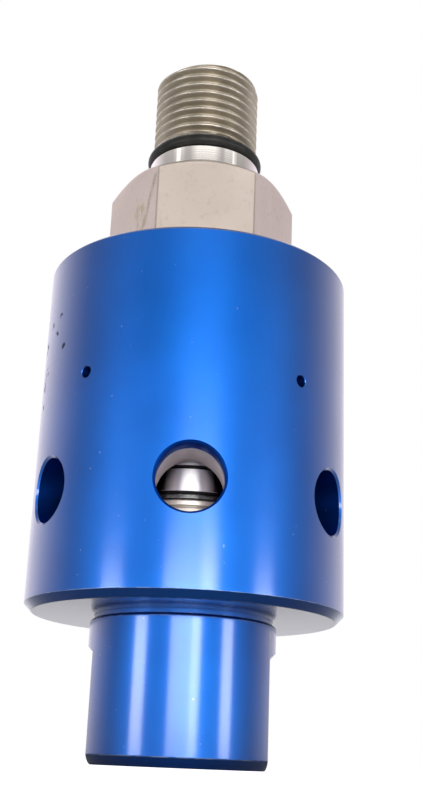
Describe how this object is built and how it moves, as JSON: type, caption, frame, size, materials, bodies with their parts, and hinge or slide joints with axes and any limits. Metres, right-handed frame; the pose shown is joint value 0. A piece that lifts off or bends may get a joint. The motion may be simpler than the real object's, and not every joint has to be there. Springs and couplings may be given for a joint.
{
  "type": "hydraulic rotary union",
  "caption": "Upright rotary union: blue vented housing with an inlet neck, a stainless hex rotor on two ball bearings with a threaded stud, and a sprung carbide face seal.",
  "frame": {"origin": "centre of the end cap's inlet face, on the axis of rotation", "axes": "+Z along the axis of rotation from the inlet to the threaded stud; -Y through the middle of the front drain vent"},
  "size_m": [0.043, 0.043, 0.102],
  "materials": {
    "blue_anodise": "satin blue anodised turned aluminium",
    "bare_metal": "bare turned metal",
    "stainless": "turned stainless, lightly stained",
    "polished_stainless": "ground and polished",
    "black_carbide": "lapped black silicon carbide",
    "seal_rubber": "matt black nitrile",
    "bearing_steel": "ground bearing steel",
    "shield_steel": "pressed steel",
    "spring_steel": "oil-blackened spring steel",
    "ground_steel": "ground dowel steel",
    "cage_nylon": "natural nylon"
  },
  "bodies": {
    "stator": {"housing": "blue_anodise", "drain_sleeve": "bare_metal", "end_cap": "blue_anodise", "drive_pins": "ground_steel", "stem_oring": "seal_rubber", "seal_spring": "spring_steel", "lower_outer_race": "bearing_steel", "lower_shields": "shield_steel", "upper_outer_race": "bearing_steel", "upper_shields": "shield_steel", "outer_spacer": "bare_metal", "retaining_ring": "spring_steel"},
    "rotor": {"rotor": "stainless", "seal_holder": "polished_stainless", "rotor_ring": "black_carbide", "shaft_nut": "polished_stainless", "pilot_oring": "seal_rubber", "inner_spacer": "bare_metal", "dust_slinger": "stainless", "lower_inner_race": "bearing_steel", "upper_inner_race": "bearing_steel"},
    "floating_seal": {"seal_carrier": "stainless", "stator_ring": "black_carbide"},
    "lower_ball_set": {"lower_cage": "cage_nylon", "lower_balls": "bearing_steel"},
    "upper_ball_set": {"upper_cage": "cage_nylon", "upper_balls": "bearing_steel"}
  },
  "joints": [
    {"name": "rotor_spin", "type": "hinge", "parent": "stator", "child": "rotor", "pos_m": [0, 0, 0.0516], "axis": [0, 0, 1], "continuous": true},
    {"name": "lower_balls_spin", "type": "hinge", "parent": "stator", "child": "lower_ball_set", "pos_m": [0, 0, 0.0434], "axis": [0, 0, 1], "continuous": true},
    {"name": "upper_balls_spin", "type": "hinge", "parent": "stator", "child": "upper_ball_set", "pos_m": [0, 0, 0.0598], "axis": [0, 0, 1], "continuous": true},
    {"name": "seal_float", "type": "slide", "parent": "stator", "child": "floating_seal", "axis": [0, 0, 1], "range_m": [-0.001, 0], "stiffness_N_per_m": 1500, "springref_m": 0.004, "deforming": ["seal_spring"]}
  ],
  "couplings": [
    {"joint": "lower_balls_spin", "follows": "rotor_spin", "ratio": 0.4088},
    {"joint": "upper_balls_spin", "follows": "rotor_spin", "ratio": 0.4088}
  ]
}
